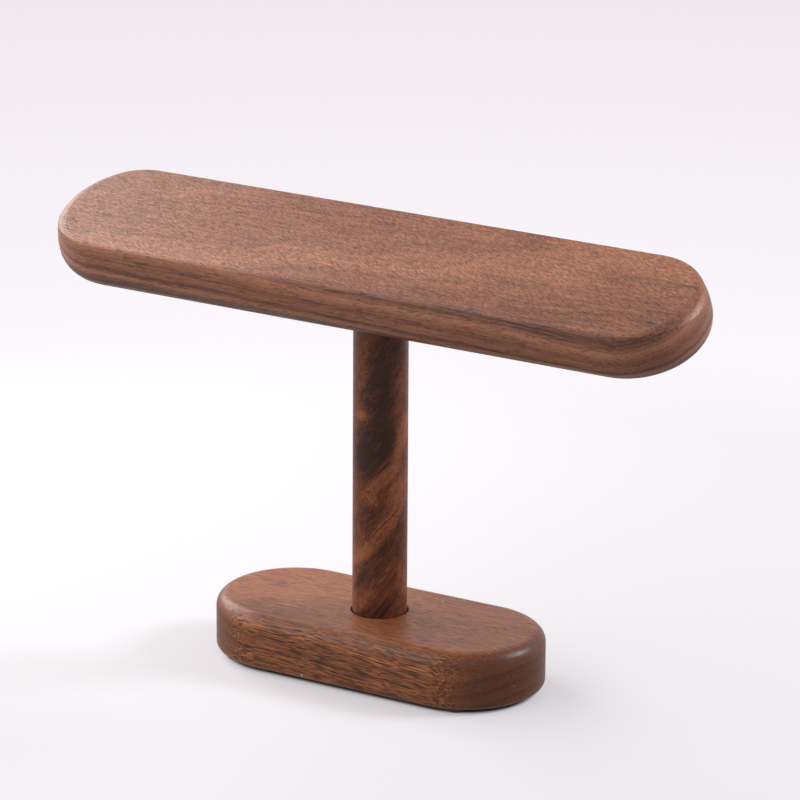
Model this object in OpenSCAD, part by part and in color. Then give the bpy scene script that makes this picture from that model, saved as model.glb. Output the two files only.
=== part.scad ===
// Jewelry stand in walnut: a tilted bar with bowed sides on a round post,
// plugged into a stadium-shaped base on four pads.
// The origin is on the floor under the post's axis. X runs along the bar and -Y is the front.

/* [Bar] */
// Length of the bar over its round ends
bar_l = 302; // [240:1:340]
// Width of the bar where its sides bow out most
bar_w = 62; // [56:1:72]
// Thickness of the bar
bar_t = 24.5; // [22:0.5:30]
// Radius that rounds the sides under into the bar's underside
bar_low_r = 12; // [8:0.5:13]
// How far the sides lean in from their widest level to the flat face
bar_bow = 2.4; // [1:0.1:4]
// Radius of the crisp edge round the bar's face
bar_arris_r = 1.2; // [0.5:0.1:2]
// Radius of the softer edge over each end of the face
bar_end_r = 6.5; // [4:0.5:8]
// Angle round each end, off the bar's long axis, at which the softer edge has faded out
bar_end_fade = 84; // [60:1:86]
// Tilt of the bar towards the front, in degrees
bar_tilt = 20; // [10:1:25]
// Depth of the socket in the bar's underside, along the post's axis
bar_socket_depth = 9; // [7:0.5:10]

/* [Post] */
// Diameter of the post
post_d = 23; // [18:0.5:28]
// Length of the post from end to end
post_l = 159; // [110:1:200]
// Chamfer at both ends of the post
post_chamfer = 0.8; // [0.4:0.1:1.5]

/* [Base] */
// Length of the base over its round ends
base_l = 150; // [130:1:180]
// Width of the base
base_w = 67; // [60:1:76]
// Thickness of the base
base_t = 24.5; // [22:0.5:30]
// Radius of the base's upper edge
base_top_r = 6; // [2:0.5:8]
// Radius of the base's lower edge
base_low_r = 3; // [1:0.5:5]
// Depth of the socket in the base's top
base_socket_depth = 14; // [11:0.5:15]
// Chamfer on the rim of the base's socket
base_socket_chamfer = 0.4; // [0.2:0.1:0.8]

/* [Feet] */
// Diameter of each pad
foot_d = 11.5; // [8:0.5:12]
// Thickness of each pad
foot_h = 2; // [1:0.1:4]
// Radius of each pad's lower edge
foot_edge_r = 0.8; // [0.2:0.1:0.9]
// How far each pad stands in from the rim of the base's flat underside
foot_inset = 0.15; // [0:0.05:4]
// Left pads: their angle round the base's left end, off its long axis, in degrees
left_foot_angle = 52.5; // [30:0.5:90]
// Right pads: their angle round the base's right end, off its long axis, in degrees
right_foot_angle = 68.5; // [30:0.5:90]

/* [Base screw] */
// Outside diameter of the wood screw's thread and shank
screw_d = 5; // [4:0.5:6]
// Length of the wood screw over its head and tip
screw_l = 40; // [32:1:50]
// Diameter of the screw's countersunk head
screw_head_d = 9.6; // [8.5:0.1:11]
// Rim of the head above its cone
screw_head_rim = 0.5; // [0.3:0.1:1]
// How far the head is sunk below the base's underside
screw_sink = 1; // [0.5:0.1:2]
// Width of each arm of the screw's cross recess
recess_w = 1.2; // [0.8:0.1:1.6]
// Span of the screw's cross recess
recess_l = 5; // [3:0.1:6]
// Depth of the screw's cross recess
recess_depth = 1.8; // [1:0.1:2.4]

/* [Hanger bolt and insert] */
// Outside diameter of the hanger bolt's two threads
bolt_d = 6; // [5:0.5:7]
// Length of the hanger bolt that is screwed into the post
bolt_wood_l = 28; // [20:1:40]
// Length of the hanger bolt that stands out of the post
bolt_end_l = 9; // [7:0.5:10]
// Chamfer on the bolt's upper end
bolt_chamfer = 0.8; // [0.4:0.1:1.2]
// Outside diameter of the threaded insert
insert_d = 9; // [8.5:0.5:11]
// Length of the threaded insert
insert_l = 10; // [8:0.5:11]
// Chamfer at the insert's mouth
insert_chamfer = 0.6; // [0.3:0.1:0.9]

/* [Fits] */
// Radial clearance of the post in the base's socket
base_socket_gap = 0.45; // [0.2:0.05:0.8]
// Radial clearance of the post in the bar's socket
bar_socket_gap = 0.15; // [0.1:0.05:0.5]
// Radial clearance of the screw in the base
screw_gap = 0.15; // [0.1:0.05:0.5]
// Depth left free past the end of each screw, bolt and insert
hole_spare = 1.5; // [0.5:0.1:2]

/* [Hidden] */
$fn = 96;

walnut_face = [0.47, 0.33, 0.26];
walnut_post = [0.33, 0.20, 0.15];
walnut_base = [0.44, 0.28, 0.20];
zinc = [0.72, 0.73, 0.74];
brass = [0.75, 0.60, 0.30];
pad_brown = [0.16, 0.10, 0.08];

// Extra length that carries a cutting shape clear through the face it opens on
cut = 1;

// Levels along the post's axis, from the floor up
base_top_z = foot_h + base_t;
post_bottom_z = base_top_z - base_socket_depth;
post_top_z = post_bottom_z + post_l;
// Where the post's axis meets the bar's underside
bar_under_z = post_top_z - bar_socket_depth;

// The bowed side of the bar is an arc that is upright at the widest level
bow_rise = bar_t - bar_low_r;
bow_r = (bow_rise*bow_rise + bar_bow*bar_bow)/(2*bar_bow);
bow_x = bar_w/2 - bow_r;
// Middle of the small arc that joins the bowed side to the flat face
arris_y = bar_t - bar_arris_r;
arris_x = bow_x + sqrt(pow(bow_r - bar_arris_r, 2) - pow(arris_y - bar_low_r, 2));
arris_angle = asin((arris_y - bar_low_r)/(bow_r - bar_arris_r));
// Middle of the arc that softens each end of the face. It is moved out and up by a trace, so
// that the arc cuts the bowed side and the face at a small angle and doesn't only touch them.
end_arc_out = 0.2;
end_arc_up = 0.06;
end_arc_y = bar_t - bar_end_r + end_arc_up;
end_arc_x = bow_x + sqrt(pow(bow_r - bar_end_r, 2) - pow(end_arc_y - bar_low_r, 2)) + end_arc_out;
end_arc_angle = asin((end_arc_y - bar_low_r)/(bow_r - bar_end_r));
// The arc turns about an axis that lies this far in from the round end's own, so that it cuts
// deepest at the tip and has run out into the crisp edge at the given angle round the end
end_axis_in = (pow(arris_x, 2) - pow(end_arc_x, 2))/(2*(end_arc_x - arris_x*cos(bar_end_fade)));

// The screw's head: a rim, then a cone of 45 degrees that narrows to the shank
screw_base_z = foot_h + screw_sink;
screw_cone_z = screw_base_z + screw_head_rim;
screw_cone_h = (screw_head_d - screw_d)/2;
screw_tip_z = screw_base_z + screw_l;
// Diameter of a blunt point, as a share of its thread's
tip_share = 0.2;

// The pads stand on a circle about the middle of each round end of the base
base_end_x = (base_l - base_w)/2;
foot_reach = base_w/2 - base_low_r - foot_inset - foot_d/2;
left_foot_x = -base_end_x - foot_reach*cos(left_foot_angle);
left_foot_y = foot_reach*sin(left_foot_angle);
right_foot_x = base_end_x + foot_reach*cos(right_foot_angle);
right_foot_y = foot_reach*sin(right_foot_angle);

// Corner of a square with its inner side rounded, for cutting round edges in the first quadrant
module corner_waste(r) {
    difference() {
        square([r + cut, r + cut]);
        circle(r = r);
    }
}

// Half of the base's cross-section, from its middle outwards
module base_half_section() {
    difference() {
        square([base_w/2, base_t]);
        translate([base_w/2 - base_top_r, base_t - base_top_r])
            corner_waste(base_top_r);
        translate([base_w/2 - base_low_r, base_low_r])
            mirror([0, 1]) corner_waste(base_low_r);
    }
}

// Half of the bar's cross-section: round underside, bowed side, crisp edge and flat face
module bar_half_section() {
    difference() {
        union() {
            square([bar_w/2 - bar_low_r, bar_t]);
            intersection() {
                translate([bar_w/2 - bar_low_r, bar_low_r]) circle(r = bar_low_r);
                square([bar_w/2 + cut, bar_low_r]);
            }
            intersection() {
                translate([bow_x, bar_low_r]) circle(r = bow_r);
                translate([0, bar_low_r]) square([bar_w/2 + cut, bow_rise]);
            }
        }
        translate([arris_x, arris_y]) edge_waste(bar_arris_r, arris_angle);
    }
}

// What a round edge loses, from the bowed side at the given angle round to the face
module edge_waste(r, angle) {
    reach = 3*r;
    difference() {
        polygon([[0, 0], reach*[cos(angle), sin(angle)], [reach, reach], [0, reach]]);
        circle(r = r);
    }
}

// What the softer edge takes off the bar's end on the +X side
module end_waste() {
    translate([(bar_l - bar_w)/2 - end_axis_in, 0, 0])
        rotate([0, 0, -90])
            rotate_extrude(angle = 180)
                translate([end_axis_in + end_arc_x, end_arc_y])
                    edge_waste(bar_end_r, end_arc_angle);
}

// Plate with half-round ends, its cross-section given as the half from its middle outwards
module stadium(length, width) {
    straight = length - width;
    rotate([90, 0, 90])
        linear_extrude(height = straight, center = true) {
            children();
            mirror([1, 0]) children();
        }
    translate([straight/2, 0, 0])
        rotate([0, 0, -90]) rotate_extrude(angle = 180) children();
    translate([-straight/2, 0, 0])
        rotate([0, 0, 90]) rotate_extrude(angle = 180) children();
}

// The bar's blank, tilted about the point where the post's axis meets its underside
module tilted_bar() {
    translate([0, 0, bar_under_z])
        rotate([bar_tilt, 0, 0])
            difference() {
                stadium(bar_l, bar_w) bar_half_section();
                end_waste();
                mirror([1, 0, 0]) end_waste();
            }
}

module bar() {
    color(walnut_face)
        difference() {
            tilted_bar();
            // Socket for the post, bored along the post's axis
            translate([0, 0, post_top_z - 2*bar_socket_depth - post_d])
                cylinder(d = post_d + 2*bar_socket_gap, h = 2*bar_socket_depth + post_d);
            // Hole for the threaded insert in the socket's floor
            translate([0, 0, post_top_z - cut])
                cylinder(d = insert_d, h = insert_l + hole_spare + cut);
        }
}

module post() {
    color(walnut_post)
        difference() {
            translate([0, 0, post_bottom_z])
                union() {
                    cylinder(d1 = post_d - 2*post_chamfer, d2 = post_d, h = post_chamfer);
                    translate([0, 0, post_chamfer])
                        cylinder(d = post_d, h = post_l - 2*post_chamfer);
                    translate([0, 0, post_l - post_chamfer])
                        cylinder(d1 = post_d, d2 = post_d - 2*post_chamfer, h = post_chamfer);
                }
            // Hole that the base screw cuts its thread in
            translate([0, 0, post_bottom_z - cut])
                cylinder(d = screw_d, h = screw_tip_z + hole_spare - post_bottom_z + cut);
            // Hole that the hanger bolt cuts its thread in
            translate([0, 0, post_top_z - bolt_wood_l - hole_spare])
                cylinder(d = bolt_d, h = bolt_wood_l + hole_spare + cut);
        }
}

module base() {
    hole_d = screw_d + 2*screw_gap;
    seat_d = screw_head_d + 2*screw_gap;
    seat_z = screw_cone_z - screw_gap;
    color(walnut_base)
        difference() {
            translate([0, 0, foot_h]) stadium(base_l, base_w) base_half_section();
            // Socket for the post with its chamfered rim
            translate([0, 0, post_bottom_z])
                cylinder(d = post_d + 2*base_socket_gap, h = base_socket_depth + cut);
            translate([0, 0, base_top_z - base_socket_chamfer])
                cylinder(
                    d1 = post_d + 2*base_socket_gap,
                    d2 = post_d + 2*base_socket_gap + 2*(base_socket_chamfer + cut),
                    h = base_socket_chamfer + cut
                );
            // Way for the base screw, with a sunk conical seat that its head bears on
            translate([0, 0, foot_h - cut])
                cylinder(d = hole_d, h = base_t + cut);
            translate([0, 0, foot_h - cut])
                cylinder(d = seat_d, h = seat_z - foot_h + cut);
            translate([0, 0, seat_z])
                cylinder(d1 = seat_d, d2 = hole_d, h = (seat_d - hole_d)/2);
        }
}

// Countersunk wood screw, driven from below with its head down
module base_screw() {
    tip_h = screw_d;
    color(zinc)
        translate([0, 0, screw_base_z])
            difference() {
                union() {
                    cylinder(d = screw_head_d, h = screw_head_rim);
                    translate([0, 0, screw_head_rim])
                        cylinder(d1 = screw_head_d, d2 = screw_d, h = screw_cone_h);
                    translate([0, 0, screw_head_rim + screw_cone_h])
                        cylinder(d = screw_d, h = screw_l - screw_head_rim - screw_cone_h - tip_h);
                    translate([0, 0, screw_l - tip_h])
                        cylinder(d1 = screw_d, d2 = tip_share*screw_d, h = tip_h);
                }
                for (turn = [0, 90])
                    rotate([0, 0, turn])
                        translate([-recess_l/2, -recess_w/2, -cut])
                            cube([recess_l, recess_w, recess_depth + cut]);
            }
}

// Double-ended bolt: a wood thread with a point below, a machine thread above
module hanger_bolt() {
    tip_h = bolt_d;
    color(zinc)
        translate([0, 0, post_top_z - bolt_wood_l]) {
            cylinder(d1 = tip_share*bolt_d, d2 = bolt_d, h = tip_h);
            translate([0, 0, tip_h])
                cylinder(d = bolt_d, h = bolt_wood_l - tip_h + bolt_end_l - bolt_chamfer);
            translate([0, 0, bolt_wood_l + bolt_end_l - bolt_chamfer])
                cylinder(d1 = bolt_d, d2 = bolt_d - 2*bolt_chamfer, h = bolt_chamfer);
        }
}

// Threaded insert, flush with the floor of the bar's socket
module threaded_insert() {
    color(brass)
        translate([0, 0, post_top_z])
            difference() {
                cylinder(d = insert_d, h = insert_l);
                translate([0, 0, -cut])
                    cylinder(d = bolt_d, h = insert_l + 2*cut);
                translate([0, 0, -cut])
                    cylinder(d1 = bolt_d + 2*(insert_chamfer + cut), d2 = bolt_d, h = insert_chamfer + cut);
            }
}

// Stuck-on pad with a rounded lower edge
module foot(x, y) {
    color(pad_brown)
        translate([x, y, 0])
            rotate_extrude()
                difference() {
                    square([foot_d/2, foot_h]);
                    translate([foot_d/2 - foot_edge_r, foot_edge_r])
                        mirror([0, 1]) corner_waste(foot_edge_r);
                }
}

bar();
post();
base();
base_screw();
hanger_bolt();
threaded_insert();
foot(left_foot_x, -left_foot_y);  // foot_front_left
foot(right_foot_x, -right_foot_y);  // foot_front_right
foot(left_foot_x, left_foot_y);  // foot_back_left
foot(right_foot_x, right_foot_y);  // foot_back_right
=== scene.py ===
import math
import bmesh
import bpy
from mathutils import Matrix, Vector


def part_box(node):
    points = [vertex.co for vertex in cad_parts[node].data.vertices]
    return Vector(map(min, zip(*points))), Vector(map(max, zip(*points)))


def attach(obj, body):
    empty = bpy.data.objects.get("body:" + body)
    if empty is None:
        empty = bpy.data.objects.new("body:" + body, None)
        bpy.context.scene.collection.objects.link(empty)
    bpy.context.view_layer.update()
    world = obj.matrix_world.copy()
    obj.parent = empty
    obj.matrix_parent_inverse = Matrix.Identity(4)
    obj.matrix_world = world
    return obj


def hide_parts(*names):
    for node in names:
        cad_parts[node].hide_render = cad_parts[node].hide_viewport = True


mm = 0.001  # in metres

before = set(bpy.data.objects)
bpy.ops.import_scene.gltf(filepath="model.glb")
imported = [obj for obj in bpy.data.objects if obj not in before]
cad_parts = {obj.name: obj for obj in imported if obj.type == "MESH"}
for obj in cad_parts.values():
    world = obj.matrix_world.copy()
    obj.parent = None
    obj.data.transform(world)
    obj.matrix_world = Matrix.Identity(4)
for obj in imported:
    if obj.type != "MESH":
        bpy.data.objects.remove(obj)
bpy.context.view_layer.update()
print("frame loaded:", ", ".join(sorted(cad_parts)))

# Camera and render settings

cameraView = {
    "azimuth": 30.695,  # degrees, from the front towards the right
    "elevation": 19.214,
    "target": (0, 0, 0.08),  # metres
    "distance": 2.00613,
    "yaw": 0.2301,  # degrees, small turns that put the stand where the photo has it
    "pitch": 1.0498,
    "roll": 0.2836,
    "lens": 216.92,  # mm on the sensor below
    "sensor": 36,
    "clip": (0.1, 50),  # metres
}


def makeCamera(look):
    azimuth, elevation = math.radians(look["azimuth"]), math.radians(look["elevation"])
    back = Vector((
        math.sin(azimuth) * math.cos(elevation),
        -math.cos(azimuth) * math.cos(elevation),
        math.sin(elevation),
    ))
    camera = bpy.data.objects.new("camera", bpy.data.cameras.new("camera"))
    bpy.context.scene.collection.objects.link(camera)
    camera.data.sensor_width = look["sensor"]
    camera.data.lens = look["lens"]
    camera.data.clip_start, camera.data.clip_end = look["clip"]
    aim = (-back).to_track_quat("-Z", "Y").to_matrix().to_4x4()
    turn = (
        Matrix.Rotation(-math.radians(look["yaw"]), 4, "Y")
        @ Matrix.Rotation(math.radians(look["pitch"]), 4, "X")
        @ Matrix.Rotation(math.radians(look["roll"]), 4, "Z")
    )
    place = Matrix.Translation(Vector(look["target"]) + back * look["distance"])
    camera.matrix_world = place @ aim @ turn
    bpy.context.scene.camera = camera


makeCamera(cameraView)
bpy.context.scene.view_settings.view_transform = "Standard"
print("camera placed")

# Node helpers


def setSocket(tree, socket, value):
    if isinstance(value, bpy.types.NodeSocket):
        tree.links.new(value, socket)
    else:
        socket.default_value = value


def addNode(tree, kind, sockets=None, **settings):
    added = tree.nodes.new("ShaderNode" + kind)
    for setting, value in settings.items():
        setattr(added, setting, value)
    for socket, value in (sockets or {}).items():
        setSocket(tree, added.inputs[socket], value)
    return added


def maths(tree, operation, *values):
    added = addNode(tree, "Math", operation=operation)
    for socket, value in zip(added.inputs, values):
        setSocket(tree, socket, value)
    return added.outputs[0]


def vectorMaths(tree, operation, *values):
    added = addNode(tree, "VectorMath", operation=operation)
    for socket, value in zip(added.inputs, values):
        setSocket(tree, socket, value)
    givesNumber = operation in ("LENGTH", "DOT_PRODUCT", "DISTANCE")
    return added.outputs["Value" if givesNumber else "Vector"]


def scaleBy(tree, vector, factor):
    sockets = {"Vector": vector, "Scale": factor}
    return addNode(tree, "VectorMath", sockets, operation="SCALE").outputs["Vector"]


def shrinkBy(tree, vector, along, across):  # so that a pattern of size 1 gets these sizes in mm
    return vectorMaths(tree, "DIVIDE", vector, (along, across, across))


def remap(tree, value, low, high, toLow=0.0, toHigh=1.0):  # smooth, and clamped at both ends
    sockets = {"Value": value, "From Min": low, "From Max": high, "To Min": toLow, "To Max": toHigh}
    return addNode(tree, "MapRange", sockets, interpolation_type="SMOOTHSTEP").outputs["Result"]


def spread(tree, pattern, share, centre):  # a pattern about 0.5 becomes one about the centre
    return maths(tree, "MULTIPLY_ADD", maths(tree, "SUBTRACT", pattern, 0.5), share, centre)


def lineAt(tree, pattern, level, width):  # 1 where the pattern crosses the level
    offLine = maths(tree, "ABSOLUTE", maths(tree, "SUBTRACT", pattern, level))
    return remap(tree, offLine, 0.0, width, 1.0, 0.0)


def noise(tree, vector, detail=2.0, roughness=0.5, output="Fac"):
    sockets = {"Vector": vector, "Scale": 1.0, "Detail": detail, "Roughness": roughness}
    return addNode(tree, "TexNoise", sockets).outputs[output]


def lineNoise(tree, value, detail):  # varies along one length only
    sockets = {"W": value, "Scale": 1.0, "Detail": detail}
    return addNode(tree, "TexNoise", sockets, noise_dimensions="1D").outputs["Fac"]


def opaque(colour):
    return (*colour, 1)


def mix(tree, factor, first, second, blend="MIX"):  # by the Mix node's sockets for colours
    added = addNode(tree, "Mix", data_type="RGBA", blend_type=blend, clamp_factor=True)
    setSocket(tree, added.inputs[0], factor)
    setSocket(tree, added.inputs[6], first)
    setSocket(tree, added.inputs[7], second)
    return added.outputs[2]


def ramp(tree, value, stops, colours):
    added = addNode(tree, "ValToRGB", {"Fac": value})
    elements = added.color_ramp.elements
    while len(elements) < len(stops):
        elements.new(0.5)
    for element, position, colour in zip(elements, stops, colours):
        element.position = position
        element.color = opaque(colour)
    return added.outputs["Color"]


def startMaterial(name):
    material = bpy.data.materials.new(name)
    material.use_nodes = True
    material.node_tree.nodes.clear()
    return material, material.node_tree


def finishMaterial(tree, colour, roughness, height, relief, **constants):
    surface = addNode(tree, "BsdfPrincipled", {"Base Color": colour, "Roughness": roughness})
    for socket, value in constants.items():
        surface.inputs[socket.replace("_", " ")].default_value = value
    bump = addNode(tree, "Bump", {"Height": height, "Distance": relief, "Strength": 1.0})
    tree.links.new(bump.outputs["Normal"], surface.inputs["Normal"])
    output = addNode(tree, "OutputMaterial")
    tree.links.new(surface.outputs["BSDF"], output.inputs["Surface"])


# Walnut: growth layers or patches, fibres, flecks and pores that run along the piece

walnut = {  # what the three woods share; sizes are in mm, along the grain and across it
    "waveSizes": ((60, 22), (17, 9)),
    "ringOnTop": (0.6, 0.9),  # how far up a surface faces where the share on top takes over
    "ringDetail": 4.0,
    "ringLine": (0.56, 0.035),  # tone at which a dark line runs, and half its width
    "streakSize": (18, 2.2),
    "streakShare": 0.9,
    "streakTone": 0.46,
    "patchFade": (0.5, 1.25),  # shares of a patch's reach between which it fades out
    "curlSize": (5, 1.4),
    "curlLine": (0.5, 0.02),
    "clusterSize": (14, 4),
    "clusterRange": (0.3, 0.7),
    "toneStops": (0.1, 0.5, 0.9),  # dark, middle and light wood
    "endGrainRange": (0.1, 0.8),  # how squarely the grain meets the surface
    "endFade": (0.15, 0.6),  # flecks and pores fade here, to the share below
    "endShare": 0.25,
    "fleckOnTop": (0.5, 0.9),
    "fleckRange": (0.34, 0.66),
    "fleckHeight": 0.8,  # as a share of a pore's depth
    "poreOnTop": (0.45, 0.9),
    "poreRoughness": 0.15,
}

barWood = {
    "name": "barWalnut",
    "node": "bar",
    "centre": (0, 0, 0.1625),  # metres; from here the pattern is in mm, X along the grain
    "turn": (20, 0, 0),  # degrees
    "grainAxis": (1, 0, 0),
    "wander": (4.0, 1.4),  # mm, broad and narrow waves of the grain
    "pith": (0, 30, -230),
    "slope": 0.03,  # of the growth layers along the piece
    "ringWidth": 5.0,
    "ringShare": 2.1,
    "ringShareOnTop": 1.0,
    "light": (0.445, 0.184, 0.1),
    "middle": (0.31, 0.118, 0.06),
    "dark": (0.085, 0.028, 0.017),
    "endGrain": (0.95, 0.9, 0.93),  # tint of the wood's colour
    "pore": (0.02, 0.009, 0.007),
    "lineShare": 0.25,
    "fibreSize": (26, 0.7),
    "fibreShare": 0.96,
    "fleckTurn": -28,  # degrees; the flecks slant across the face
    "fleckShare": 0.1,
    "fleckShareOnTop": 0.36,
    "fleckSize": (2.6, 0.46),
    "poreSize": (5.0, 0.5),
    "poreReach": (0.22, 0.4),  # share of a cell, where pores are few and where they are many
    "poreShare": 0.45,
    "poreShareOnTop": 0.25,
    "specular": 0.46,
    "roughness": 0.44,
    "relief": 0.00008,  # metres
    "marks": [  # place in metres, radius in mm, colour, share
        ((0.136, -0.0228, 0.1803), 1.3, (0.04, 0.02, 0.02), 0.95),
        ((0.1376, -0.0231, 0.1802), 1.1, (0.05, 0.025, 0.022), 0.8),
    ],
}

baseWood = {
    "name": "baseWalnut",
    "node": "base",
    "centre": (0, 0, 0.0145),
    "turn": (0, 3.5, 0),
    "grainAxis": (1, 0, 0),
    "wander": (5.0, 1.8),
    "pith": (0, 15, -180),
    "slope": -0.02,
    "ringWidth": 4.5,
    "ringShare": 1.0,
    "ringShareOnTop": 0.8,
    "light": (0.4, 0.142, 0.056),
    "middle": (0.256, 0.085, 0.032),
    "dark": (0.1, 0.03, 0.013),
    "endGrain": (0.5, 0.42, 0.42),
    "pore": (0.02, 0.008, 0.006),
    "lineShare": 0.25,
    "fibreSize": (30, 0.9),
    "fibreShare": 0.8,
    "fleckTurn": 0,
    "fleckShare": 0.68,
    "fleckShareOnTop": 0.36,
    "fleckSize": (14.0, 0.32),
    "poreSize": (10.0, 0.8),
    "poreReach": (0.2, 0.33),
    "poreShare": 0.75,
    "poreShareOnTop": 0.35,
    "specular": 0.37,
    "roughness": 0.36,
    "relief": 0.00005,
    "marks": [
        ((-0.0178, -0.0335, 0.004), 0.7, (0.8, 0.7, 0.62), 0.8),
        ((0.0182, 0.0212, 0.0265), 0.5, (0.8, 0.7, 0.62), 0.6),
        ((0.0723, -0.0133, 0.011), 0.5, (0.5, 0.36, 0.32), 0.5),
    ],
}

postWood = {
    "name": "postWalnut",
    "node": "post",
    "centre": (0, 0, 0.07),
    "turn": (0, -50, 30.7),  # X climbs to the right as the photo's pale band does
    "grainAxis": (0, 0, 1),
    "wander": (5.0, 2.4),
    "across": (0.86, 0.5105, 0),  # towards the right as the photo shows the post
    "patches": [  # mm: place across and up, half length, half width; tilt in degrees, change of tone
        (-2.6, 103, 19, 8, 73, -0.34),
        (-6.8, 97.6, 6, 3.4, 80, -0.2),
        (3.1, 103.6, 8, 2.8, 80, -0.14),
        # painted shade: the next two broad dark patches at the top, under the bar, stand for the bar's
        # shadow on the post
        (-1.0, 124, 9, 8, 60, -0.3),
        (2.0, 140, 14, 9, 70, -0.3),
        (-7.8, 114.6, 3.2, 2.6, 10, 0.32),
        (8.6, 105, 13, 2.2, 76, 0.34),
        (1.2, 88, 10, 3, 44, 0.34),
        (7.0, 82, 9, 4, 65, 0.32),
        (-4.7, 78, 4, 3, 30, 0.14),
        (-5.2, 69.5, 8, 4.5, 95, -0.18),
        (0.5, 63.7, 19, 3, 55, 0.34),
        (-2.1, 50.6, 11, 3.6, 55, -0.18),
        (6.2, 58.7, 10, 5, 60, -0.16),
        (8.9, 67.4, 6, 2.4, 70, -0.08),
        (9.4, 41.2, 7, 2.6, 105, 0.18),
        (-1.0, 30.3, 12, 4, 35, -0.16),
        (0.0, 24.0, 16, 9, 0, -0.1),
        (2.1, 68.0, 11, 0.35, 49, -0.4),  # dark line beside the pale band
        (-5.2, 79.6, 4.0, 0.5, -52, 0.22),  # three pale curls
        (-3.4, 77.8, 3.4, 0.45, -40, 0.2),
        (-2.6, 80.4, 3.0, 0.4, -60, 0.18),
        (-8.4, 42.3, 5, 1.6, 55, -0.2),
        (-8.9, 53.3, 8, 2, 62, 0.26),
        (-6.3, 35.7, 6, 2.2, 50, 0.2),
    ],
    "light": (0.34, 0.11, 0.046),
    "middle": (0.185, 0.052, 0.021),
    "dark": (0.041, 0.013, 0.007),
    "endGrain": (0.6, 0.55, 0.55),
    "pore": (0.013, 0.006, 0.004),
    "lineShare": 0.45,
    "fibreSize": (26, 0.6),
    "fibreShare": 0.8,
    "fleckTurn": 0,
    "fleckShare": 0.14,
    "fleckShareOnTop": 0.14,
    "fleckSize": (2.4, 0.4),
    "poreSize": (4.0, 0.4),
    "poreReach": (0.22, 0.4),
    "poreShare": 0.4,
    "poreShareOnTop": 0.4,
    "specular": 0.24,
    "roughness": 0.36,
    "relief": 0.00004,
    "marks": [
        ((0.0095, -0.0065, 0.0607), 1.8, (0.03, 0.012, 0.008), 0.5),
    ],
}


def layGrain(tree, look, position):  # the piece's own space in mm, with the grain straight and wavy
    grain = addNode(tree, "Mapping", {
        "Vector": position,
        "Location": look["centre"],
        "Rotation": [math.radians(angle) for angle in look["turn"]],
        "Scale": (mm, mm, mm),
    }, vector_type="TEXTURE").outputs[0]
    bent = grain
    for size, amount in zip(walnut["waveSizes"], look["wander"]):
        waves = noise(tree, shrinkBy(tree, grain, *size), output="Color")
        drift = vectorMaths(tree, "SUBTRACT", waves, (0.5, 0.5, 0.5))
        bent = vectorMaths(tree, "MULTIPLY_ADD", drift, (0, amount, amount), bent)
    return grain, bent


def growthTone(tree, look, bent, upwards):  # layers round a pith, as in a flat-sawn board
    fromPith = vectorMaths(tree, "SUBTRACT", bent, look["pith"])
    reach = vectorMaths(tree, "LENGTH", vectorMaths(tree, "MULTIPLY", fromPith, (0, 1, 1)))
    along = vectorMaths(tree, "DOT_PRODUCT", bent, (look["slope"], 0, 0))
    layer = maths(tree, "DIVIDE", maths(tree, "ADD", reach, along), look["ringWidth"])
    rings = lineNoise(tree, layer, walnut["ringDetail"])
    share = remap(tree, upwards, *walnut["ringOnTop"], look["ringShare"], look["ringShareOnTop"])
    return spread(tree, rings, share, 0.5), lineAt(tree, rings, *walnut["ringLine"])


def addPatch(tree, tone, across, up, patch):
    placeAcross, placeUp, halfLength, halfWidth, tilt, change = patch
    turnCos, turnSin = math.cos(math.radians(tilt)), math.sin(math.radians(tilt))
    offset = addNode(tree, "CombineXYZ", {
        "X": maths(tree, "SUBTRACT", across, placeAcross),
        "Y": maths(tree, "SUBTRACT", up, placeUp),
    }).outputs[0]
    lengthwise = (turnCos / halfLength, turnSin / halfLength, 0)
    sideways = (-turnSin / halfWidth, turnCos / halfWidth, 0)
    reach = vectorMaths(tree, "LENGTH", addNode(tree, "CombineXYZ", {
        "X": vectorMaths(tree, "DOT_PRODUCT", offset, lengthwise),
        "Y": vectorMaths(tree, "DOT_PRODUCT", offset, sideways),
    }).outputs[0])
    return maths(tree, "ADD", tone, remap(tree, reach, *walnut["patchFade"], change, 0.0))


def patchTone(tree, look, grain, bent, position):  # soft patches listed one by one, with wavy edges
    drift = scaleBy(tree, vectorMaths(tree, "SUBTRACT", bent, grain), mm)
    warped = vectorMaths(tree, "ADD", position, drift)
    across = vectorMaths(tree, "DOT_PRODUCT", warped, [part / mm for part in look["across"]])
    up = vectorMaths(tree, "DOT_PRODUCT", warped, (0, 0, 1 / mm))
    streaks = noise(tree, shrinkBy(tree, bent, *walnut["streakSize"]), detail=5.0, roughness=0.65)
    tone = spread(tree, streaks, walnut["streakShare"], walnut["streakTone"])
    for patch in look["patches"]:
        tone = addPatch(tree, tone, across, up, patch)
    curls = noise(tree, shrinkBy(tree, bent, *walnut["curlSize"]), roughness=0.6)
    return tone, lineAt(tree, curls, *walnut["curlLine"])


def makeFlecks(tree, look, bent):
    turn = (0, 0, math.radians(-look["fleckTurn"]))
    slanted = addNode(tree, "Mapping", {"Vector": bent, "Rotation": turn}).outputs[0]
    return noise(tree, shrinkBy(tree, slanted, *look["fleckSize"]), detail=1.0)


def makePores(tree, look, bent):  # long cells whose middles are dark, bigger where pores cluster
    clusters = noise(tree, shrinkBy(tree, bent, *walnut["clusterSize"]))
    reach = remap(tree, clusters, *walnut["clusterRange"], *look["poreReach"])
    sockets = {"Vector": shrinkBy(tree, bent, *look["poreSize"]), "Scale": 1.0}
    cell = addNode(tree, "TexVoronoi", sockets).outputs["Distance"]
    return maths(tree, "LESS_THAN", cell, reach)


def addMarks(tree, look, position, colour):
    for place, radius, markColour, share in look["marks"]:
        away = vectorMaths(tree, "DISTANCE", position, place)
        spot = remap(tree, away, radius * mm / 2, radius * mm, share, 0.0)
        colour = mix(tree, spot, colour, opaque(markColour))
    return colour


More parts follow.
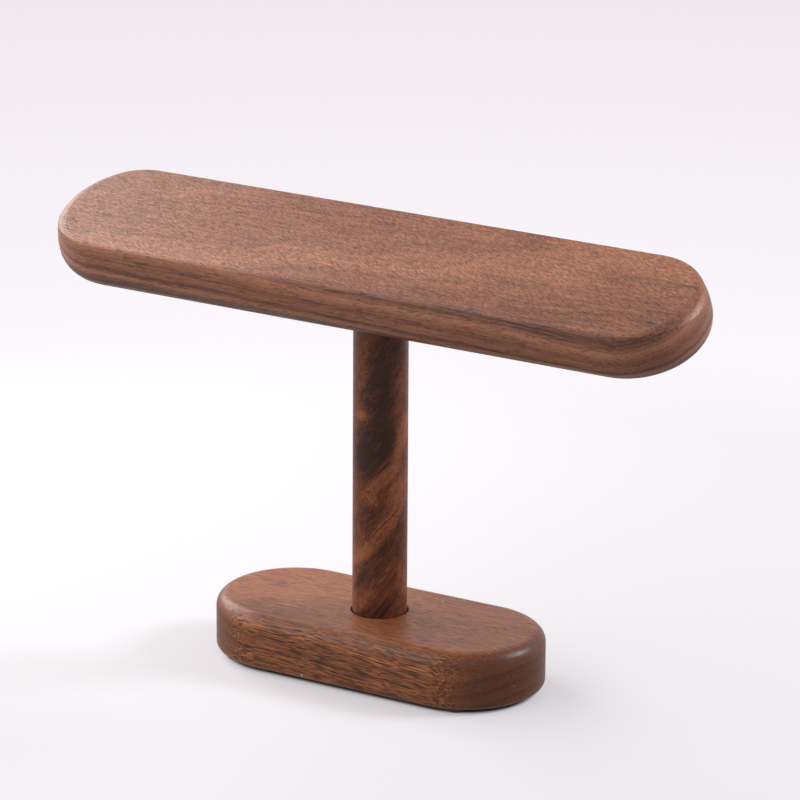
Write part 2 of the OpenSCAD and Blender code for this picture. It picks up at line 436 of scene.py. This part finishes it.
def makeWalnut(look):
    material, tree = startMaterial(look["name"])
    coordinates = addNode(tree, "TexCoord")
    position, normal = coordinates.outputs["Object"], coordinates.outputs["Normal"]
    upwards = vectorMaths(tree, "DOT_PRODUCT", normal, (0, 0, 1))
    facing = maths(tree, "ABSOLUTE", vectorMaths(tree, "DOT_PRODUCT", normal, look["grainAxis"]))
    grain, bent = layGrain(tree, look, position)
    if "patches" in look:
        tone, growthLine = patchTone(tree, look, grain, bent, position)
    else:
        tone, growthLine = growthTone(tree, look, bent, upwards)
    fibres = noise(tree, shrinkBy(tree, bent, *look["fibreSize"]), detail=3.0, roughness=0.6)
    flecks = makeFlecks(tree, look, bent)
    pores = makePores(tree, look, bent)

    # Colour: a tone between dark and light wood, then end grain, flecks, lines, pores and marks
    tone = spread(tree, fibres, look["fibreShare"], tone)
    colour = ramp(tree, tone, walnut["toneStops"], (look["dark"], look["middle"], look["light"]))
    endTint = mix(tree, 1.0, colour, opaque(look["endGrain"]), "MULTIPLY")
    colour = mix(tree, remap(tree, facing, *walnut["endGrainRange"]), colour, endTint)
    besideGrain = remap(tree, facing, *walnut["endFade"], 1.0, walnut["endShare"])
    shares = {}
    for kind in ("fleck", "pore"):
        low, high = walnut[kind + "OnTop"]
        share = remap(tree, upwards, low, high, look[kind + "Share"], look[kind + "ShareOnTop"])
        shares[kind] = maths(tree, "MULTIPLY", share, besideGrain)
    fleckTone = remap(tree, flecks, *walnut["fleckRange"], -1.0, 1.0)
    fleckTone = maths(tree, "MULTIPLY_ADD", fleckTone, shares["fleck"], 1.0)
    colour = scaleBy(tree, colour, fleckTone)
    lines = maths(tree, "MULTIPLY", growthLine, look["lineShare"])
    colour = mix(tree, lines, colour, opaque(look["pore"]))
    darkPores = maths(tree, "MULTIPLY", pores, shares["pore"])
    colour = mix(tree, darkPores, colour, opaque(look["pore"]))
    colour = addMarks(tree, look, position, colour)

    roughness = maths(tree, "MULTIPLY_ADD", pores, walnut["poreRoughness"], look["roughness"])
    height = maths(tree, "SUBTRACT", maths(tree, "MULTIPLY", flecks, walnut["fleckHeight"]), pores)
    specular = look["specular"]
    finishMaterial(tree, colour, roughness, height, look["relief"], Specular_IOR_Level=specular)
    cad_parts[look["node"]].material_slots[0].material = material


for wood in (barWood, baseWood, postWood):
    makeWalnut(wood)
    print("walnut on", wood["node"])

# Pads, zinc-plated steel and brass

metals = {
    "zinc_steel": {"colour": (0.72, 0.73, 0.74), "roughness": 0.32},
    "brass": {"colour": (0.75, 0.6, 0.3), "roughness": 0.28},
}

metalFinish = {
    "turning": (300, 300, 9000),  # marks per metre, close together up the piece
    "cloud": (400, 400, 400),
    "cloudStops": (0.3, 0.6),
    "darker": 0.8,  # share of the colour where the cloud is dark
    "turningRange": (0.3, 0.7),
    "smoother": 0.06,  # how far the roughness goes down and up along the marks
    "rougher": 0.1,
    "relief": 0.00001,  # metres
}

padRubber = {
    "colour": (0.1, 0.05, 0.04),
    "worn": (0.15, 0.085, 0.07),
    "wornStops": (0.35, 0.75),
    "grainSize": 0.4,  # mm
    "grainRange": (0.3, 0.7),
    "roughness": (0.55, 0.75),
    "specular": 0.3,
    "relief": 0.00005,
}


def makeMetal(name, look, finish):
    material, tree = startMaterial(name)
    position = addNode(tree, "TexCoord").outputs["Object"]
    turned = noise(tree, vectorMaths(tree, "MULTIPLY", position, finish["turning"]))
    cloud = noise(tree, vectorMaths(tree, "MULTIPLY", position, finish["cloud"]))
    darker = [finish["darker"] * channel for channel in look["colour"]]
    colour = ramp(tree, cloud, finish["cloudStops"], (darker, look["colour"]))
    smooth, rough = look["roughness"] - finish["smoother"], look["roughness"] + finish["rougher"]
    roughness = remap(tree, turned, *finish["turningRange"], smooth, rough)
    finishMaterial(tree, colour, roughness, turned, finish["relief"], Metallic=1.0)
    return material


def makePadRubber(look):
    material, tree = startMaterial("padRubber")
    position = addNode(tree, "TexCoord").outputs["Object"]
    grainsPerMetre = 1 / (look["grainSize"] * mm)
    grain = noise(tree, vectorMaths(tree, "MULTIPLY", position, [grainsPerMetre] * 3), detail=3.0)
    colour = ramp(tree, grain, look["wornStops"], (look["colour"], look["worn"]))
    roughness = remap(tree, grain, *look["grainRange"], *look["roughness"])
    specular = look["specular"]
    finishMaterial(tree, colour, roughness, grain, look["relief"], Specular_IOR_Level=specular)
    return material


metalMaterials = {name: makeMetal(name, look, metalFinish) for name, look in metals.items()}
rubber = makePadRubber(padRubber)
for name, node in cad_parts.items():
    if name.startswith("foot_"):
        node.material_slots[0].material = rubber
print("pads, steel and brass ready")

# Threaded hardware in mm: an outline is spun round, then a helix is cut into it

threadMesh = {
    "segments": 40,  # round a piece
    "rowsPerTurn": 8,  # of a thread
    "merge": 0.001,  # mm
    "tipRadius": 0.01,  # points nearer the axis than this stay where they are
    "sharpAngle": 40,  # degrees
}


def heightsBetween(low, high, step):
    count = max(1, round(abs(high - low) / step))
    return [low + (high - low) * index / count for index in range(count + 1)]


def rowStep(thread):
    return thread["pitch"] / threadMesh["rowsPerTurn"]


def spinOutline(bm, outline, closed=False):
    ring = [bm.verts.new((radius, 0, height)) for radius, height in outline]
    edges = [bm.edges.new(pair) for pair in zip(ring, ring[1:])]
    if closed:
        edges.append(bm.edges.new((ring[-1], ring[0])))
    bmesh.ops.spin(
        bm, geom=ring + edges, cent=(0, 0, 0), axis=(0, 0, 1), dvec=(0, 0, 0),
        angle=2 * math.pi, steps=threadMesh["segments"], use_merge=True, use_duplicate=False,
    )
    bmesh.ops.remove_doubles(bm, verts=bm.verts, dist=threadMesh["merge"])


# Moves a wall's points in or out along a helix. Crest is the share of the pitch that the flanks
# take, wall the radius that is cut, and split the radius that parts the wall's points from others
def cutThread(bm, look, low, high, inside=False):
    for vert in bm.verts:
        radius = math.hypot(vert.co.x, vert.co.y)
        isWall = radius < look["split"] if inside else radius > look["split"]
        if low < vert.co.z < high and isWall and radius > threadMesh["tipRadius"]:
            turn = vert.co.z / look["pitch"] - math.atan2(vert.co.y, vert.co.x) / (2 * math.pi)
            fromCrest = abs(2 * (turn % 1) - 1)
            groove = min(1, fromCrest / look["crest"])
            fromEnd = min(vert.co.z - low, high - vert.co.z)
            runOut = min(1, fromEnd / look["pitch"])
            change = look["depth"] * groove * runOut * (1 if inside else -1)
            scale = 1 + change / look["wall"]
            vert.co.x *= scale
            vert.co.y *= scale


def finishPiece(bm, name, node, slot):
    bmesh.ops.recalc_face_normals(bm, faces=bm.faces)
    bmesh.ops.scale(bm, vec=(mm, mm, mm), verts=bm.verts)
    mesh = bpy.data.meshes.new(name)
    bm.to_mesh(mesh)
    bm.free()
    mesh.polygons.foreach_set("use_smooth", [True] * len(mesh.polygons))
    mesh.set_sharp_from_angle(angle=math.radians(threadMesh["sharpAngle"]))
    mesh.materials.append(metalMaterials[slot])
    piece = bpy.data.objects.new(name, mesh)
    bpy.context.scene.collection.objects.link(piece)
    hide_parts(node)
    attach(piece, "root")
    print(name, "has", len(mesh.polygons), "faces")


def spanOf(node):  # lowest and highest point of a CAD node, in mm
    low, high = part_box(node)
    return low[2] / mm, high[2] / mm


baseScrew = {
    "head": 4.8,  # radii and lengths in mm
    "rim": 0.5,
    "easing": 0.15,
    "shank": 2.5,
    "plainEnd": 11,  # where the thread starts, from the face with the cross
    "tip": 5,
    "crossWidth": 1.2,
    "crossSpan": 5,
    "crossDepth": 1.8,
    "thread": {"pitch": 2.1, "depth": 0.75, "crest": 0.45, "wall": 2.5, "split": 0},
}


def sinkCross(bm, look, height):
    rim = [edge for edge in bm.edges if edge.is_boundary]
    far, near = look["crossSpan"] / 2, look["crossWidth"] / 2
    corners = []
    for quarter in range(4):
        turn = Matrix.Rotation(quarter * math.pi / 2, 3, "Z")
        for x, y in ((far, -near), (far, near), (near, near)):
            corners.append(bm.verts.new(turn @ Vector((x, y, height))))
    cross = [bm.edges.new(pair) for pair in zip(corners, corners[1:] + corners[:1])]
    bmesh.ops.triangle_fill(bm, use_beauty=True, edges=rim + cross, normal=(0, 0, -1))
    walls = bmesh.ops.extrude_edge_only(bm, edges=cross)["geom"]
    deep = [item for item in walls if isinstance(item, bmesh.types.BMVert)]
    bmesh.ops.translate(bm, vec=(0, 0, look["crossDepth"]), verts=deep)
    wallEdges = [item for item in walls if isinstance(item, bmesh.types.BMEdge)]
    floorEdges = [edge for edge in wallEdges if edge.is_boundary]
    bmesh.ops.triangle_fill(bm, use_beauty=True, edges=floorEdges, normal=(0, 0, -1))


def makeBaseScrew(look):
    low, high = spanOf("base_screw")
    step = rowStep(look["thread"])
    threadLow, tipLow = low + look["plainEnd"], high - look["tip"]
    cone = low + look["rim"] + look["head"] - look["shank"]
    outline = [(look["head"] - look["easing"], low), (look["head"], low + look["easing"])]
    outline += [(look["head"], low + look["rim"]), (look["shank"], cone)]
    outline += [(look["shank"], z) for z in heightsBetween(threadLow, tipLow, step)]
    for z in heightsBetween(tipLow, high, step)[1:]:
        outline.append((look["shank"] * (high - z) / look["tip"], z))
    bm = bmesh.new()
    spinOutline(bm, outline)
    cutThread(bm, look["thread"], threadLow, high)
    sinkCross(bm, look, low)
    finishPiece(bm, "baseScrew", "base_screw", "zinc_steel")


hangerBolt = {
    "radius": 3,
    "tip": 6,
    "collar": 2.5,  # plain part between the two threads
    "woodLength": 28,
    "chamfer": 0.8,
    "woodThread": {"pitch": 2.4, "depth": 0.85, "crest": 0.45, "wall": 3, "split": 0},
    "machineThread": {"pitch": 1.0, "depth": 0.5, "crest": 0.9, "wall": 3, "split": 0},
}


def makeHangerBolt(look):
    low, high = spanOf("hanger_bolt")
    woodTop = low + look["woodLength"]
    tipTop, threadTop, chamferLow = low + look["tip"], woodTop - look["collar"], high - look["chamfer"]
    woodStep, machineStep = rowStep(look["woodThread"]), rowStep(look["machineThread"])
    outline = []
    for z in heightsBetween(low, tipTop, woodStep):
        outline.append((look["radius"] * (z - low) / look["tip"], z))
    shaft = heightsBetween(tipTop, threadTop, woodStep)[1:]
    shaft += heightsBetween(woodTop, chamferLow, machineStep)
    outline += [(look["radius"], z) for z in shaft]
    outline += [(look["radius"] - look["chamfer"], high), (0, high)]
    bm = bmesh.new()
    spinOutline(bm, outline)
    cutThread(bm, look["woodThread"], low, threadTop)
    cutThread(bm, look["machineThread"], woodTop, chamferLow)
    finishPiece(bm, "hangerBolt", "hanger_bolt", "zinc_steel")


threadedInsert = {
    "outside": 4.5,
    "bore": 3,
    "mouth": 0.6,
    "easing": 0.3,
    "outerThread": {"pitch": 2.0, "depth": 0.55, "crest": 0.5, "wall": 4.5, "split": 4.4},
    "boreThread": {"pitch": 1.0, "depth": 0.35, "crest": 0.9, "wall": 3, "split": 3.1},
}


def makeThreadedInsert(look):
    low, high = spanOf("threaded_insert")
    boreStep, outerStep = rowStep(look["boreThread"]), rowStep(look["outerThread"])
    boreLow, eased = low + look["mouth"], look["easing"]
    outline = [(look["bore"] + look["mouth"], low)]
    outline += [(look["bore"], z) for z in heightsBetween(boreLow, high, boreStep)]
    outline.append((look["outside"] - eased, high))
    for z in heightsBetween(high - eased, low + eased, outerStep):
        outline.append((look["outside"], z))
    outline.append((look["outside"] - eased, low))
    bm = bmesh.new()
    spinOutline(bm, outline, closed=True)
    cutThread(bm, look["boreThread"], boreLow, high, inside=True)
    cutThread(bm, look["outerThread"], low + eased, high - eased)
    finishPiece(bm, "threadedInsert", "threaded_insert", "brass")


makeBaseScrew(baseScrew)
makeHangerBolt(hangerBolt)
makeThreadedInsert(threadedInsert)

# Floor, world and lamps

stageLook = {
    "radius": 8,  # metres, as the reaches below
    "segments": 64,
    "near": (0.99, 0.955, 1.0),  # the plain part of the floor close to the stand
    "far": (0.845, 0.785, 0.825),  # and far from it, as well as the background
    "plainReach": (0.35, 1.35),  # distances from the stand for these two
    "lit": (0.81, 0.785, 0.8),  # the part of the floor that takes light and shadow
    "under": (0.26, 0.25, 0.23),  # painted shadow: the lit part of the floor, darker under the base
    "bounce": 0.26,  # how pale the floor is for the light that it throws back
    "plainShare": 0.38,  # how much of the floor by the stand is plain
    "litReach": (0.25, 0.5),  # between these distances the rest of the floor turns plain too
    "shadeReach": (-0.0055, -0.002),  # distances past the base's outline from the painted shadow under it to lit
    "world": 0.37,  # strength of the light from all around
}


def directRays(tree, rays):  # 1 for the rays that see floor and world plain, 0 for the others
    direct = maths(tree, "MAXIMUM", rays.outputs["Is Camera Ray"], rays.outputs["Is Glossy Ray"])
    return maths(tree, "MAXIMUM", direct, rays.outputs["Is Transmission Ray"])


def joinShaders(tree, factor, first, second, output):
    surface = addNode(tree, "MixShader", {"Fac": factor})
    tree.links.new(first.outputs[0], surface.inputs[1])
    tree.links.new(second.outputs[0], surface.inputs[2])
    tree.links.new(surface.outputs[0], addNode(tree, output).inputs["Surface"])


def plainFloor(tree, look, away):
    nearReach, farReach = look["plainReach"]
    sockets = {"Value": away, "From Min": nearReach, "From Max": farReach}
    share = addNode(tree, "MapRange", sockets).outputs[0]
    seen = ramp(tree, share, (0, 1), (look["near"], look["far"]))
    return addNode(tree, "Emission", {"Color": seen, "Strength": 1.0})


def beyondBase(tree, look, position):  # 0 under the base, 1 outside its outline, a stadium; this also masks the painted shadow under the base
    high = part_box("base")[1]
    endRadius = high[1]
    half = high[0] - endRadius
    ends = vectorMaths(tree, "SUBTRACT", vectorMaths(tree, "ABSOLUTE", position), (half, 0, 0))
    fromMiddle = vectorMaths(tree, "LENGTH", vectorMaths(tree, "MAXIMUM", ends, (0, 0, 0)))
    return remap(tree, maths(tree, "SUBTRACT", fromMiddle, endRadius), *look["shadeReach"])


def makeFloor(look):
    bm = bmesh.new()
    bmesh.ops.create_circle(bm, cap_ends=True, segments=look["segments"], radius=look["radius"])
    mesh = bpy.data.meshes.new("floor")
    bm.to_mesh(mesh)
    bm.free()
    floor = bpy.data.objects.new("floor", mesh)
    bpy.context.scene.collection.objects.link(floor)

    material, tree = startMaterial("floor")
    position = addNode(tree, "TexCoord").outputs["Object"]
    away = vectorMaths(tree, "LENGTH", position)
    rays = addNode(tree, "LightPath")
    beyond = beyondBase(tree, look, position)
    # the lit floor's colour, with painted shadow under the base
    litWithPaintedShade = mix(tree, beyond, opaque(look["under"]), opaque(look["lit"]))
    thrown = mix(tree, rays.outputs["Is Camera Ray"], opaque([look["bounce"]] * 3), litWithPaintedShade)
    lit = addNode(tree, "BsdfDiffuse", {"Color": thrown})
    plain = maths(tree, "MULTIPLY", beyond, look["plainShare"])
    plain = maths(tree, "MAXIMUM", plain, remap(tree, away, *look["litReach"]))
    factor = maths(tree, "MULTIPLY", directRays(tree, rays), plain)
    joinShaders(tree, factor, lit, plainFloor(tree, look, away), "OutputMaterial")
    mesh.materials.append(material)


def makeWorld(look):
    world = bpy.data.worlds.new("studio")
    bpy.context.scene.world = world
    world.use_nodes = True
    tree = world.node_tree
    tree.nodes.clear()
    glow = addNode(tree, "Background", {"Color": (1, 1, 1, 1), "Strength": look["world"]})
    shown = addNode(tree, "Background", {"Color": opaque(look["far"]), "Strength": 1.0})
    direct = directRays(tree, addNode(tree, "LightPath"))
    joinShaders(tree, direct, glow, shown, "OutputWorld")


lampTarget = (0, 0, 0.1)  # metres

lamps = {
    "softbox": {
        "place": (-0.6, 0.12, 0.44),  # metres
        "size": 0.5,
        "power": 3.8,  # watts
        "colour": (1.0, 0.99, 0.98),
    },
    "rim": {
        "place": (1.2, 0.75, 0.95),
        "size": 0.45,
        "power": 15,
        "colour": (0.94, 0.97, 1.0),
    },
    "fill": {
        "place": (-1.0, -1.1, 0.6),
        "size": 2.0,
        "power": 19,
        "colour": (1.0, 0.98, 0.97),
    },
}


def makeLamp(name, look):
    lamp = bpy.data.objects.new(name, bpy.data.lights.new(name, "AREA"))
    bpy.context.scene.collection.objects.link(lamp)
    lamp.data.size = look["size"]
    lamp.data.energy = look["power"]
    lamp.data.color = look["colour"]
    lamp.location = look["place"]
    aim = Vector(lampTarget) - Vector(look["place"])
    lamp.rotation_mode = "QUATERNION"
    lamp.rotation_quaternion = aim.to_track_quat("-Z", "Y")


makeFloor(stageLook)
makeWorld(stageLook)
for lampName, lampLook in lamps.items():
    makeLamp(lampName, lampLook)
print("floor, world and lamps ready")
